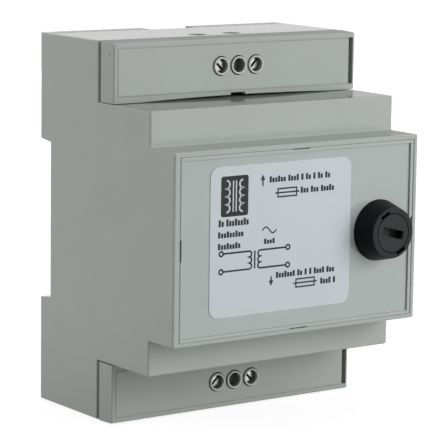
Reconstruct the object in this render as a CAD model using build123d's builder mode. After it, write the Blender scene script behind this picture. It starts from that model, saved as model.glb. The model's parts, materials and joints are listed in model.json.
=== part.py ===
from build123d import *
import os
from math import tan, radians

# A DIN rail transformer. X runs along the rail, -Y faces the user and +Z is up.
# The origin is the middle of the rail seat. Sizes are in millimetres.

# Stepped housing: a four-module enclosure
housing_width = 71.0
housing_height = 90.7
housing_depth = 58.0
front_tier_height = 45.0
terminal_bay_height = 14.45
mid_tier_depth = 48.0
side_wall_depth = 26.0
side_wall = 1.8
end_wall = 2.0
tier_wall = 1.6
shelf_reach = 1.6
edge_round = 0.45
overcut = 1.0

# Rail and the notch that takes it
rail_width = 35.0
rail_thickness = 1.0
rail_notch_depth = 4.8
rail_notch_height = 38.2
rail_notch_mouth = 39.4
rail_play = 0.2

# Front panel in the rim of the front tier
rim_width = 1.1
left_rim_width = 1.6
panel_left_gap = 0.06
panel_right_gap = 0.25
panel_end_gap = 0.08
panel_thickness = 2.4
panel_lip_width = 0.8
panel_recess = 0.45
panel_ledge = 1.4
pry_notch_length = 5.0
pry_notch_width = 0.45
pry_end_width = 0.2
pry_notch_depth = 1.2

# Label on the panel
label_width = 40.7
label_height = 35.2
label_thickness = 0.15
label_round = 2.5
label_gap = 1.3
label_z = 0.9

# Terminal covers
cover_reach = 6.7
cover_gap = 0.15
cover_relief = 0.5
cover_relief_length = 56.0
cover_slit = 1.1
cover_slit_length = 2.6
cover_seam = 0.2
cover_front_wall = 1.6
cover_top_wall = 1.4
cover_flank_wall = 0.9
cover_slot_width = 1.3
cover_slot_wall = 0.55
cover_line_inset = 1.5
cover_line_width = 0.3
cover_line_depth = 0.3
cover_side_line_depth = 0.12
cover_top_slope = 2.4
cover_round = 0.35
cover_notch_width = 4.3
cover_notch_height = 1.05
tongue_thickness = 1.0
tongue_play = 0.2
tongue_reach = 9.0
tongue_end_gap = 0.4

# Terminals
pole_pitch = 5.08
terminal_drop = 6.75
collar_diameter = 4.25
collar_bore = 3.5
collar_hole = 4.8
collar_proud = 0.45
block_front_gap = 1.4
block_depth = 13.7
block_height = 9.45
block_margin = 0.3
block_end_gap = 0.3
block_wall = 1.2
block_floor = 0.9
wire_hole = 4.6
block_wire_hole = 3.8

# Terminal screws, clamp cages and contact bars
screw_head_diameter = 3.1
screw_head_height = 1.6
screw_head_sink = 1.0
screw_head_chamfer = 0.25
screw_slot_width = 0.65
screw_slot_depth = 0.8
screw_slot_angle = 45.0
screw_shank_diameter = 2.5
shank_play = 0.06
screw_tip_reach = 0.3
cage_width = 4.0
cage_height = 5.2
cage_wall = 0.8
cage_side_wall = 0.5
cage_travel = 2.0
cage_play = 0.3
wire_space = 3.0
contact_thickness = 0.8
contact_width = 2.5
contact_gap = 0.3
contact_leg = 0.8
contact_leg_play = 0.15
contact_leg_rise = 0.4
contact_overrun = 1.2

# Terminal boards and the posts that carry them
board_side_gap = 2.7
board_height = 9.4
board_thickness = 1.6
board_end_gap = 0.7
post_inset = 4.0
post_diameter = 5.0
stake_diameter = 1.9
stake_hole = 2.1
stake_reach = 0.6

# Rear base with the fixed hooks
base_wall = 1.8
base_inset = 0.3
base_play = 0.15
flange_depth = 5.0
flange_seam = 0.15
hook_width = 14.0
hook_spacing = 36.0
hook_lip = 2.0
hook_overlap = 2.2
hook_slot_play = 0.3
hook_nose = 0.6

# Sliding clip, its guide and its spring
clip_width = 9.2
clip_front_gap = 0.3
clip_thickness = 3.9
clip_flange = 1.3
clip_flange_thickness = 1.6
clip_lip = 2.3
clip_overlap = 1.6
clip_lip_bevel = 1.2
clip_floor_gap = 1.0
clip_flange_set_back = 2.2
clip_tail_thickness = 2.7
clip_tail_gap = 0.4
clip_pry_width = 5.5
clip_pry_thickness = 1.2
clip_pry_depth = 3.5
clip_travel = 3.0
guide_play = 0.3
guide_wall = 1.6
tail_gap_width = 13.6
window_width = 4.4
window_top_drop = 6.3
window_bottom_wall = 4.05
spring_ledge_height = 1.8
spring_ledge_width = 3.4
spring_ledge_reach = 3.6
ledge_play = 0.3
spring_diameter = 2.9
spring_wire = 0.5
spring_pitch = 2.2
spring_end_gap = 0.05

# Fuse holder in the panel
fuse_inset = 11.4
holder_base_diameter = 14.9
holder_face_diameter = 12.2
holder_proud = 5.7
holder_barrel_diameter = 12.0
holder_barrel_length = 12.0
holder_tail_diameter = 9.6
holder_rear_wall = 2.0
holder_edge_round = 0.35
holder_hole_play = 0.1
nut_flats = 15.0
nut_thickness = 3.0
nut_turn = 30.0
nut_play = 0.1
carrier_face_diameter = 9.4
carrier_face_thickness = 2.6
carrier_barrel_diameter = 7.8
carrier_barrel_length = 9.6
carrier_play = 0.07
carrier_end_gap = 0.3
carrier_slot_length = 6.3
carrier_slot_width = 2.0
carrier_slot_depth = 1.8
carrier_slot_angle = -14.5
mark_length = 2.7
mark_width = 0.67
mark_depth = 1.0
mark_angle = 119.0

# Fuse and its contacts
fuse_length = 20.0
fuse_cap_diameter = 5.2
fuse_cap_length = 5.0
fuse_cap_wall = 0.12
fuse_glass_wall = 0.45
fuse_wire_diameter = 0.3
fuse_play = 0.08
fuse_seat_gap = 0.1
fuse_clearance = 0.35
tail_disc_diameter = 4.4
tail_disc_thickness = 0.6
tail_stem_diameter = 1.6
stem_play = 0.1
tail_tag_length = 5.0
tail_tag_width = 4.0
tag_thickness = 0.6
side_strip_width = 3.0
side_strip_start = 1.0
side_strip_length = 7.8
side_tag_stand_off = 1.4
side_tag_length = 7.0
strip_play = 0.12

# Laminated core, bobbin and windings
core_side_gap = 0.7
core_width = 45.0
core_headroom = 2.1
core_front_room = 3.5
core_leg = 18.0
core_yoke = 9.0
core_window = 9.0
core_hole = 3.5
core_hole_inset = 4.5
core_base_gap = 0.3
bobbin_play = 0.2
bobbin_wall = 0.9
winding_play = 0.1
winding_drop = 1.0
winding_round = 3.0
primary_share = 0.545
core_screw_diameter = 3.0
core_screw_head = 5.5
core_screw_head_height = 2.0
core_screw_grip = 6.0
core_post_diameter = 5.2
core_post_margin = 0.4
post_hole_play = 0.05
post_hole_extra = 1.0

# Thermal cut-out on the primary winding
cutout_width = 8.0
cutout_height = 5.0
cutout_thickness = 2.6
cutout_gap = 0.05

# Leads inside
lead_diameter = 1.4
lead_bend = 2.5
lead_gap = 0.05
lead_end_run = 4.5
lead_front_drop = 4.0
lead_pad_drop = 3.6
primary_lead_offsets = (-8.5, -2.5)
secondary_lead_offset = 6.5
fuse_lead_offset = 9.5
fuse_lead_clearance = 0.25

# Widths and heights that follow the housing
half_width = housing_width / 2
half_height = housing_height / 2
inner_half_width = half_width - side_wall
inner_half_height = half_height - end_wall
mid_tier_height = housing_height - 2 * terminal_bay_height
mid_half = mid_tier_height / 2
terminal_height = half_height - terminal_drop
cover_depth = side_wall_depth + cover_reach
board_width = 2 * (inner_half_width - board_side_gap)
post_spacing = board_width - 2 * post_inset
opening_width = housing_width - left_rim_width - rim_width
opening_x = (left_rim_width - rim_width) / 2
fuse_x = half_width - fuse_inset
label_x = fuse_x - holder_base_diameter / 2 - label_gap - label_width / 2
core_x = core_width / 2 + core_side_gap - inner_half_width
core_height = mid_tier_height - 2 * (tier_wall + core_headroom)

# Places along Y
rear_y = rail_notch_depth
front_y = rear_y - housing_depth
mid_y = rear_y - mid_tier_depth
seam_y = rear_y - side_wall_depth
cover_y = rear_y - cover_depth
flank_y = seam_y - cover_slit
panel_face_y = front_y + panel_recess
panel_rear_y = front_y + panel_thickness
block_front_y = cover_y + cover_front_wall + block_front_gap
block_rear_y = block_front_y + block_depth
board_rear_y = block_rear_y + board_thickness
base_rear_y = rear_y - base_inset
base_wall_y = base_rear_y - base_wall
cage_front_y = block_front_y + block_wall + cage_travel + cage_play
screw_tip_y = cage_front_y + cage_wall + screw_tip_reach
contact_front_y = screw_tip_y + contact_gap
contact_rear_y = contact_front_y + contact_thickness
cage_rear_y = contact_rear_y + wire_space + cage_wall
wire_y = contact_rear_y + wire_space / 2
head_front_y = cover_y + screw_head_sink
head_rear_y = head_front_y + screw_head_height
bobbin_rear_y = -base_wall - core_base_gap
core_stack = bobbin_rear_y - mid_y - tier_wall - core_front_room - 2 * core_window
core_y = bobbin_rear_y - core_window - core_stack / 2
core_front_y = core_y - core_stack / 2
core_rear_y = core_y + core_stack / 2

# Places along Z
rail_half = rail_width / 2
mouth_half = rail_notch_mouth / 2
cover_bottom_z = mid_half + cover_gap
block_top_z = inner_half_height - block_end_gap
block_bottom_z = block_top_z - block_height
contact_leg_z = block_bottom_z + block_floor + contact_leg_rise
board_top_z = inner_half_height - board_end_gap
board_middle_z = board_top_z - board_height / 2
clip_half = clip_width / 2
clip_shoulder_z = -rail_half - rail_play
clip_body_bottom_z = clip_travel + clip_floor_gap - inner_half_height
clip_shoulder_length = clip_shoulder_z - clip_body_bottom_z
clip_tail_bottom_z = -half_height + clip_tail_gap
clip_rear_y = clip_front_gap + clip_thickness
guide_half = clip_half + clip_flange + guide_play
window_top_z = clip_shoulder_z - window_top_drop
spring_seat_z = clip_body_bottom_z + window_bottom_wall + ledge_play + spring_ledge_height
spring_length = window_top_z - spring_seat_z
spring_y = clip_front_gap + clip_thickness / 2


with BuildPart() as housing:
    with BuildSketch(Plane.YZ):
        with Locations((rear_y, 0)):
            Rectangle(side_wall_depth, housing_height, align=(Align.MAX, Align.CENTER))
            Rectangle(mid_tier_depth, mid_tier_height, align=(Align.MAX, Align.CENTER))
            Rectangle(housing_depth, front_tier_height, align=(Align.MAX, Align.CENTER))
    extrude(amount=half_width, both=True)
    side_edges = housing.faces().filter_by(Axis.X).edges()
    front_edges = housing.faces().filter_by(Axis.Y).sort_by(Axis.Y)[:3].edges().filter_by(Axis.X)
    fillet(side_edges + front_edges, edge_round)
    # Inside: terminal bays open to the front, the middle tier and the shelf between them
    with BuildSketch(Plane.YZ):
        with Locations((rear_y + overcut, 0)):
            Rectangle(
                side_wall_depth + 2 * overcut,
                2 * inner_half_height,
                align=(Align.MAX, Align.CENTER),
            )
            Rectangle(
                mid_tier_depth - tier_wall + overcut,
                mid_tier_height - 2 * tier_wall,
                align=(Align.MAX, Align.CENTER),
            )
        with GridLocations(1, mid_tier_height - tier_wall, 1, 2):
            with Locations((seam_y + shelf_reach, 0)):
                Rectangle(
                    shelf_reach + 2 * overcut,
                    tier_wall,
                    align=(Align.MAX, Align.CENTER),
                    mode=Mode.SUBTRACT,
                )
    extrude(amount=inner_half_width, both=True, mode=Mode.SUBTRACT)
    # Front opening with the ledge that the panel sits on
    with Locations((opening_x, front_y - overcut, 0)):
        Box(
            opening_width - 2 * panel_ledge,
            housing_depth - mid_tier_depth + tier_wall + 2 * overcut,
            front_tier_height - 2 * (rim_width + panel_ledge),
            align=(Align.CENTER, Align.MIN, Align.CENTER),
            mode=Mode.SUBTRACT,
        )
        Box(
            opening_width,
            panel_thickness + overcut,
            front_tier_height - 2 * rim_width,
            align=(Align.CENTER, Align.MIN, Align.CENTER),
            mode=Mode.SUBTRACT,
        )
    # Rail notch, wider at its mouth
    with BuildSketch(Plane.YZ):
        with BuildLine():
            Polyline(
                (0, -rail_notch_height / 2),
                (0, rail_notch_height / 2),
                (rear_y, mouth_half),
                (rear_y + overcut, mouth_half),
                (rear_y + overcut, -mouth_half),
                (rear_y, -mouth_half),
                close=True,
            )
        make_face()
    extrude(amount=half_width + overcut, both=True, mode=Mode.SUBTRACT)
    # Room behind the end walls for the flanges of the base, and the wire entries
    with Locations((0, rear_y, half_height), (0, rear_y, -half_height)):
        Box(2 * inner_half_width, 2 * flange_depth, 2 * (end_wall + overcut), mode=Mode.SUBTRACT)
    with BuildSketch(Plane.XY):
        with Locations((-pole_pitch, wire_y), (pole_pitch, wire_y)):
            Circle(wire_hole / 2)
    extrude(amount=half_height + overcut, both=True, mode=Mode.SUBTRACT)


with BuildPart() as front_panel:
    panel_width = opening_width - panel_left_gap - panel_right_gap
    panel_height = front_tier_height - 2 * (rim_width + panel_end_gap)
    with Locations((opening_x + (panel_left_gap - panel_right_gap) / 2, front_y, 0)):
        Box(panel_width, panel_thickness, panel_height, align=(Align.CENTER, Align.MIN, Align.CENTER))
        Box(
            panel_width - 2 * panel_lip_width,
            2 * panel_recess,
            panel_height - 2 * panel_lip_width,
            mode=Mode.SUBTRACT,
        )
        # Pry notches, one in the middle of each edge
        with GridLocations(panel_width, 1, 2, 1):
            Box(2 * pry_notch_width, 2 * pry_notch_depth, pry_notch_length, mode=Mode.SUBTRACT)
        with Locations((0, 0, panel_height / 2), (0, 0, -panel_height / 2)):
            Box(pry_notch_length, 2 * pry_notch_depth, 2 * pry_end_width, mode=Mode.SUBTRACT)
    with BuildSketch(Plane.XZ.offset(-panel_face_y)):
        with Locations((fuse_x, 0)):
            Circle(holder_barrel_diameter / 2 + holder_hole_play)
    extrude(amount=-panel_thickness, mode=Mode.SUBTRACT)


with BuildPart() as rating_label:
    with BuildSketch(Plane.XZ.offset(-panel_face_y)):
        with Locations((label_x, label_z)):
            RectangleRounded(label_width, label_height, label_round)
    extrude(amount=label_thickness)


with BuildPart() as upper_terminal_cover:
    cover_back_y = seam_y - cover_seam
    cover_drop = (cover_back_y - cover_y) * tan(radians(cover_top_slope))
    cover_ceiling_z = half_height - cover_drop - cover_top_wall
    with BuildSketch(Plane.YZ):
        with BuildLine():
            Polyline(
                (cover_y, cover_bottom_z),
                (cover_y, half_height - cover_drop),
                (cover_back_y, half_height),
                (cover_back_y, cover_ceiling_z),
                (flank_y, cover_ceiling_z),
                (flank_y, cover_bottom_z),
                close=True,
            )
        make_face()
    extrude(amount=half_width, both=True)
    face_edges = upper_terminal_cover.faces().sort_by(Axis.Y)[0].edges()
    fillet(face_edges.filter_by(Axis.X).sort_by(Axis.Z)[-1:] + face_edges.filter_by(Axis.Z), cover_round)
    cover_height = half_height - cover_bottom_z
    with Locations((0, cover_y + cover_front_wall, cover_ceiling_z)):
        Box(
            housing_width - 2 * cover_flank_wall,
            cover_depth,
            cover_height,
            align=(Align.CENTER, Align.MIN, Align.MAX),
            mode=Mode.SUBTRACT,
        )
    # Tongues inside the side walls, each tied to its flank by a web behind the end slot
    tongue_x = inner_half_width - tongue_play
    for side in (-1, 1):
        tongue_align = (Align.MAX if side > 0 else Align.MIN, Align.MIN, Align.MIN)
        with Locations((side * tongue_x, cover_y, cover_bottom_z)):
            Box(
                tongue_thickness,
                seam_y - cover_y + tongue_reach,
                inner_half_height - tongue_end_gap - cover_bottom_z,
                align=tongue_align,
            )
        with Locations((side * (half_width - cover_flank_wall / 2), flank_y, cover_bottom_z)):
            Box(
                half_width - cover_flank_wall / 2 - tongue_x + tongue_thickness / 2,
                cover_flank_wall,
                cover_ceiling_z - cover_bottom_z,
                align=(Align.MAX if side > 0 else Align.MIN, Align.MAX, Align.MIN),
            )
        # The slit beside the flank goes on through the top
        with Locations((side * half_width, flank_y, half_height)):
            Box(
                2 * cover_slit_length,
                2 * cover_slit,
                2 * (half_height - cover_ceiling_z),
                align=(Align.CENTER, Align.MIN, Align.CENTER),
                mode=Mode.SUBTRACT,
            )
    # End slot between the front plate and the right flank
    with Locations((half_width - cover_slot_wall, cover_y, cover_bottom_z + cover_line_inset)):
        Box(
            cover_slot_width,
            2 * (cover_front_wall + overcut),
            cover_height - 2 * cover_line_inset,
            align=(Align.MAX, Align.CENTER, Align.MIN),
            mode=Mode.SUBTRACT,
        )
    # Moulded lines around the face
    line_length = housing_width - 2 * cover_flank_wall
    with Locations(
        (0, cover_y, half_height - cover_line_inset),
        (0, cover_y, cover_bottom_z + cover_line_inset),
    ):
        Box(line_length, 2 * cover_line_depth, cover_line_width, mode=Mode.SUBTRACT)
    with Locations((-line_length / 2, cover_y, cover_bottom_z + cover_line_inset)):
        Box(
            cover_line_width,
            2 * cover_side_line_depth,
            cover_height - 2 * cover_line_inset,
            align=(Align.MIN, Align.CENTER, Align.MIN),
            mode=Mode.SUBTRACT,
        )
    # Shallow arch over the shelf, with a pry notch
    with BuildSketch(Plane.XZ.offset(-cover_y)):
        with BuildLine():
            ThreePointArc(
                (-cover_relief_length / 2, cover_bottom_z),
                (0, cover_bottom_z + cover_relief),
                (cover_relief_length / 2, cover_bottom_z),
            )
            Line((-cover_relief_length / 2, cover_bottom_z), (cover_relief_length / 2, cover_bottom_z))
        make_face()
    extrude(amount=-(cover_front_wall + overcut), mode=Mode.SUBTRACT)
    with Locations((0, cover_y, cover_bottom_z)):
        Box(cover_notch_width, 2 * cover_front_wall + overcut, 2 * cover_notch_height, mode=Mode.SUBTRACT)
    with BuildSketch(Plane.XZ.offset(-cover_y)):
        with Locations((0, terminal_height)):
            with GridLocations(pole_pitch, 1, 3, 1):
                Circle(collar_hole / 2)
    extrude(amount=-(cover_front_wall + overcut), mode=Mode.SUBTRACT)


with BuildPart() as lower_terminal_cover:
    mirror(upper_terminal_cover.part, about=Plane.XY)


with BuildPart() as upper_terminal_block:
    block_width = 3 * pole_pitch + block_margin
    cavity_width = cage_width + 2 * cage_play
    cavity_height = block_height - block_floor - block_wall
    with Locations((0, block_front_y, block_top_z)):
        Box(block_width, block_depth, block_height, align=(Align.CENTER, Align.MIN, Align.MAX))
    with BuildSketch(Plane.XZ.offset(-block_front_y)):
        with Locations((0, terminal_height)):
            with GridLocations(pole_pitch, 1, 3, 1):
                Circle(collar_diameter / 2)
    extrude(amount=block_front_y - cover_y + collar_proud)
    with BuildSketch(Plane.XZ.offset(-cover_y + collar_proud)):
        with Locations((0, terminal_height)):
            with GridLocations(pole_pitch, 1, 3, 1):
                Circle(collar_bore / 2)
    extrude(amount=-(head_rear_y - cover_y + collar_proud), mode=Mode.SUBTRACT)
    # Poles in use: screw hole, clamp cavity, wire entry and the contact's leg hole
    with BuildSketch(Plane.XZ.offset(-head_rear_y)):
        with Locations((-pole_pitch, terminal_height), (pole_pitch, terminal_height)):
            Circle(screw_shank_diameter / 2 + shank_play)
    extrude(amount=-(block_front_y - head_rear_y + block_wall), mode=Mode.SUBTRACT)
    for x in (-pole_pitch, pole_pitch):
        with Locations((x, block_front_y + block_wall, block_bottom_z + block_floor)):
            Box(
                cavity_width,
                block_depth - 2 * block_wall,
                cavity_height,
                align=(Align.CENTER, Align.MIN, Align.MIN),
                mode=Mode.SUBTRACT,
            )
        with Locations((x, wire_y, block_top_z)):
            Cylinder(block_wire_hole / 2, 2 * (block_wall + overcut), mode=Mode.SUBTRACT)
        with Locations((x, block_rear_y, contact_leg_z + contact_leg / 2)):
            Box(
                contact_leg + 2 * contact_leg_play,
                2 * (block_wall + overcut),
                contact_leg + 2 * contact_leg_play,
                mode=Mode.SUBTRACT,
            )


with BuildPart() as lower_terminal_block:
    mirror(upper_terminal_block.part, about=Plane.XY)


def terminal_screw(x, slot_angle):
    """Slotted terminal screw of the upper block, at one pole."""
    with BuildPart() as screw:
        with BuildSketch(Plane.XZ.offset(-head_rear_y)):
            with Locations((x, terminal_height)):
                Circle(screw_head_diameter / 2)
        extrude(amount=screw_head_height)
        chamfer(screw.faces().sort_by(Axis.Y)[0].edges(), screw_head_chamfer)
        with BuildSketch(Plane.XZ.offset(-head_rear_y)):
            with Locations((x, terminal_height)):
                Circle(screw_shank_diameter / 2)
        extrude(amount=-(screw_tip_y - head_rear_y))
        with BuildSketch(Plane.XZ.offset(-head_front_y)):
            with Locations(Location((x, terminal_height), slot_angle)):
                Rectangle(2 * screw_head_diameter, screw_slot_width)
        extrude(amount=-screw_slot_depth, mode=Mode.SUBTRACT)
    return screw


def clamp_cage(x):
    """Rising clamp cage of the upper block, at its open end."""
    with BuildPart() as cage:
        with Locations((x, cage_front_y, terminal_height)):
            Box(
                cage_width,
                cage_rear_y - cage_front_y,
                cage_height,
                align=(Align.CENTER, Align.MIN, Align.CENTER),
            )
        with Locations((x, cage_front_y + cage_wall, terminal_height)):
            Box(
                cage_width - 2 * cage_side_wall,
                cage_rear_y - cage_front_y - 2 * cage_wall,
                cage_height + 2 * overcut,
                align=(Align.CENTER, Align.MIN, Align.CENTER),
                mode=Mode.SUBTRACT,
            )
        with BuildSketch(Plane.XZ.offset(-cage_front_y)):
            with Locations((x, terminal_height)):
                Circle(screw_shank_diameter / 2 + shank_play)
        extrude(amount=-cage_wall, mode=Mode.SUBTRACT)
    return cage


def mirrored(piece):
    """The lower twin of an upper piece."""
    with BuildPart() as twin:
        mirror(piece.part, about=Plane.XY)
    return twin


upper_left_screw = terminal_screw(-pole_pitch, -screw_slot_angle)
upper_right_screw = terminal_screw(pole_pitch, screw_slot_angle)
lower_left_screw = mirrored(upper_left_screw)
lower_right_screw = mirrored(upper_right_screw)
upper_left_cage = clamp_cage(-pole_pitch)
upper_right_cage = clamp_cage(pole_pitch)
lower_left_cage = mirrored(upper_left_cage)
lower_right_cage = mirrored(upper_right_cage)


with BuildPart() as upper_contacts:
    contact_top_z = terminal_height + cage_height / 2
    for x in (-pole_pitch, pole_pitch):
        with Locations((x, contact_front_y, contact_leg_z)):
            Box(
                contact_width,
                contact_thickness,
                contact_top_z - contact_leg_z,
                align=(Align.CENTER, Align.MIN, Align.MIN),
            )
            Box(
                contact_leg,
                board_rear_y + contact_overrun - contact_front_y,
                contact_leg,
                align=(Align.CENTER, Align.MIN, Align.MIN),
            )


lower_contacts = mirrored(upper_contacts)


with BuildPart() as upper_terminal_board:
    with Locations((0, block_rear_y, board_top_z)):
        Box(board_width, board_thickness, board_height, align=(Align.CENTER, Align.MIN, Align.MAX))
    with BuildSketch(Plane.XZ.offset(-block_rear_y)):
        with Locations((0, board_middle_z)):
            with GridLocations(post_spacing, 1, 2, 1):
                Circle(stake_hole / 2)
        with Locations((0, contact_leg_z + contact_leg / 2)):
            with GridLocations(2 * pole_pitch, 1, 2, 1):
                Rectangle(contact_leg + 2 * contact_leg_play, contact_leg + 2 * contact_leg_play)
    extrude(amount=-board_thickness, mode=Mode.SUBTRACT)


lower_terminal_board = mirrored(upper_terminal_board)


with BuildPart() as rear_base:
    base_half_width = inner_half_width - base_play
    base_half_height = inner_half_height - base_play
    core_hole_x = core_width - 2 * core_hole_inset
    core_hole_z = core_height - 2 * core_hole_inset
    seat_height = core_hole_z + core_post_diameter + 2 * core_post_margin
    flange_front_y = rear_y - flange_depth + flange_seam
    # Hat section: rail seat that also carries the core, channel walls, rear walls and end flanges
    with BuildSketch(Plane.YZ):
        Rectangle(base_wall, seat_height, align=(Align.MAX, Align.CENTER))
        for side in (-1, 1):
            rise = Align.MIN if side > 0 else Align.MAX
            with Locations((-base_wall, side * mouth_half)):
                Rectangle(base_rear_y + base_wall, base_wall, align=(Align.MIN, rise))
            with Locations((base_wall_y, side * mouth_half)):
                Rectangle(base_wall, half_height - mouth_half, align=(Align.MIN, rise))
            fall = Align.MAX if side > 0 else Align.MIN
            with Locations((base_rear_y, side * half_height)):
                Rectangle(base_rear_y - flange_front_y, end_wall, align=(Align.MAX, fall))
    extrude(amount=base_half_width, both=True)
    # Notches in the flanges, the lower one for the clip's tail
    with Locations((0, rear_y, half_height), (0, rear_y, -half_height)):
        Box(tail_gap_width, 2 * flange_depth, 2 * (half_height - inner_half_height), mode=Mode.SUBTRACT)
    # Fixed hooks above the rail
    hook_slot = rail_thickness + hook_slot_play
    hook_tip_z = rail_half - hook_overlap
    for x in (-hook_spacing / 2, hook_spacing / 2):
        with BuildSketch(Plane.YZ.offset(x)):
            with BuildLine():
                Polyline(
                    (0, mouth_half + base_wall / 2),
                    (0, rail_half + rail_play),
                    (hook_slot, rail_half + rail_play),
                    (hook_slot, hook_tip_z),
                    (hook_slot + hook_nose, hook_tip_z - hook_nose / 2),
                    (hook_slot + hook_lip, hook_tip_z + hook_lip - hook_nose),
                    (hook_slot + hook_lip, mouth_half + base_wall / 2),
                    close=True,
                )
            make_face()
        extrude(amount=hook_width / 2, both=True)
    # Posts for the boards, with stakes, and posts under the corners of the core
    with BuildSketch(Plane.XZ.offset(-base_wall_y)):
        with GridLocations(post_spacing, 2 * board_middle_z, 2, 2):
            Circle(post_diameter / 2)
    extrude(amount=base_wall_y - board_rear_y)
    with BuildSketch(Plane.XZ.offset(-board_rear_y)):
        with GridLocations(post_spacing, 2 * board_middle_z, 2, 2):
            Circle(stake_diameter / 2)
    extrude(amount=board_thickness + stake_reach)
    with BuildSketch(Plane.XZ.offset(base_wall / 2)):
        with Locations((core_x, 0)):
            with GridLocations(core_hole_x, core_hole_z, 2, 2):
                Circle(core_post_diameter / 2)
    extrude(amount=-base_wall / 2 - core_rear_y)
    with BuildSketch(Plane.XZ.offset(-core_rear_y)):
        with Locations((core_x, 0)):
            with GridLocations(core_hole_x, core_hole_z, 2, 2):
                Circle(core_screw_diameter / 2 + post_hole_play)
    extrude(amount=-(core_screw_grip + post_hole_extra), mode=Mode.SUBTRACT)
    # Trough that guides the clip, with lips over its flanges
    lip_y = clip_front_gap + clip_flange_thickness + guide_play
    with Locations((0, -base_wall, -mouth_half)):
        Box(
            2 * (guide_half + guide_wall),
            base_rear_y + base_wall,
            base_half_height - mouth_half,
            align=(Align.CENTER, Align.MIN, Align.MAX),
        )
    with Locations((0, 0, -mouth_half + overcut)):
        Box(
            2 * guide_half,
            lip_y,
            half_height,
            align=(Align.CENTER, Align.MIN, Align.MAX),
            mode=Mode.SUBTRACT,
        )
        Box(
            clip_width + 2 * guide_play,
            rear_y + overcut,
            half_height,
            align=(Align.CENTER, Align.MIN, Align.MAX),
            mode=Mode.SUBTRACT,
        )
    with Locations((0, -base_wall / 2, spring_seat_z)):
        Box(
            spring_ledge_width,
            spring_ledge_reach + base_wall / 2,
            spring_ledge_height,
            align=(Align.CENTER, Align.MIN, Align.MAX),
        )


with BuildPart() as din_clip:
    # Body with side flanges, and the window that holds the spring
    with Locations((0, clip_front_gap, clip_shoulder_z)):
        Box(
            clip_width,
            clip_thickness,
            clip_shoulder_length,
            align=(Align.CENTER, Align.MIN, Align.MAX),
        )
    with Locations((0, clip_front_gap, clip_shoulder_z - clip_flange_set_back)):
        Box(
            clip_width + 2 * clip_flange,
            clip_flange_thickness,
            clip_shoulder_length - clip_flange_set_back,
            align=(Align.CENTER, Align.MIN, Align.MAX),
        )
    with Locations((0, clip_front_gap - overcut, window_top_z)):
        Box(
            window_width,
            clip_thickness + 2 * overcut,
            spring_length + spring_ledge_height + ledge_play,
            align=(Align.CENTER, Align.MIN, Align.MAX),
            mode=Mode.SUBTRACT,
        )
    # Lip over the rail's lower flange, with a lead-in bevel behind
    clip_slot = rail_thickness + hook_slot_play
    with BuildSketch(Plane.YZ):
        with BuildLine():
            Polyline(
                (clip_slot, clip_shoulder_z - overcut),
                (clip_slot, clip_shoulder_z + clip_overlap),
                (clip_slot + clip_lip - clip_lip_bevel, clip_shoulder_z + clip_overlap),
                (clip_slot + clip_lip, clip_shoulder_z + clip_overlap - clip_lip_bevel),
                (clip_slot + clip_lip, clip_shoulder_z - overcut),
                close=True,
            )
        make_face()
    extrude(amount=clip_half, both=True)
    # Tail through the gap in the bottom wall, with a pry slot
    with Locations((0, clip_rear_y, clip_body_bottom_z + overcut)):
        Box(
            clip_width,
            clip_tail_thickness,
            clip_body_bottom_z + overcut - clip_tail_bottom_z,
            align=(Align.CENTER, Align.MAX, Align.MAX),
        )
    with Locations((0, clip_rear_y - clip_tail_thickness / 2, clip_tail_bottom_z)):
        Box(clip_pry_width, clip_pry_thickness, 2 * clip_pry_depth, mode=Mode.SUBTRACT)


with BuildPart() as clip_spring:
    coil_height = spring_length - spring_wire - 2 * spring_end_gap
    coil_start = Location((0, spring_y, spring_seat_z + spring_wire / 2 + spring_end_gap))
    with BuildLine(coil_start) as coil:
        Helix(spring_pitch, coil_height, spring_diameter / 2)
    with BuildSketch(Plane(coil.line @ 0, z_dir=coil.line % 0)):
        Circle(spring_wire / 2)
    sweep(path=coil.line, is_frenet=True)


fuse_plane = Plane(origin=(fuse_x, panel_face_y, 0), x_dir=(1, 0, 0), z_dir=(0, 0, 1))
fuse_axis = Axis((fuse_x, 0, 0), (0, 1, 0))
carrier_end = -holder_proud + carrier_face_thickness + carrier_barrel_length
socket_start = -holder_proud + carrier_face_thickness + fuse_seat_gap
fuse_start = socket_start + fuse_seat_gap
fuse_end = fuse_start + fuse_length
holder_floor = fuse_end + fuse_seat_gap + tail_disc_thickness + fuse_seat_gap
holder_end = holder_floor + holder_rear_wall


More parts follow.
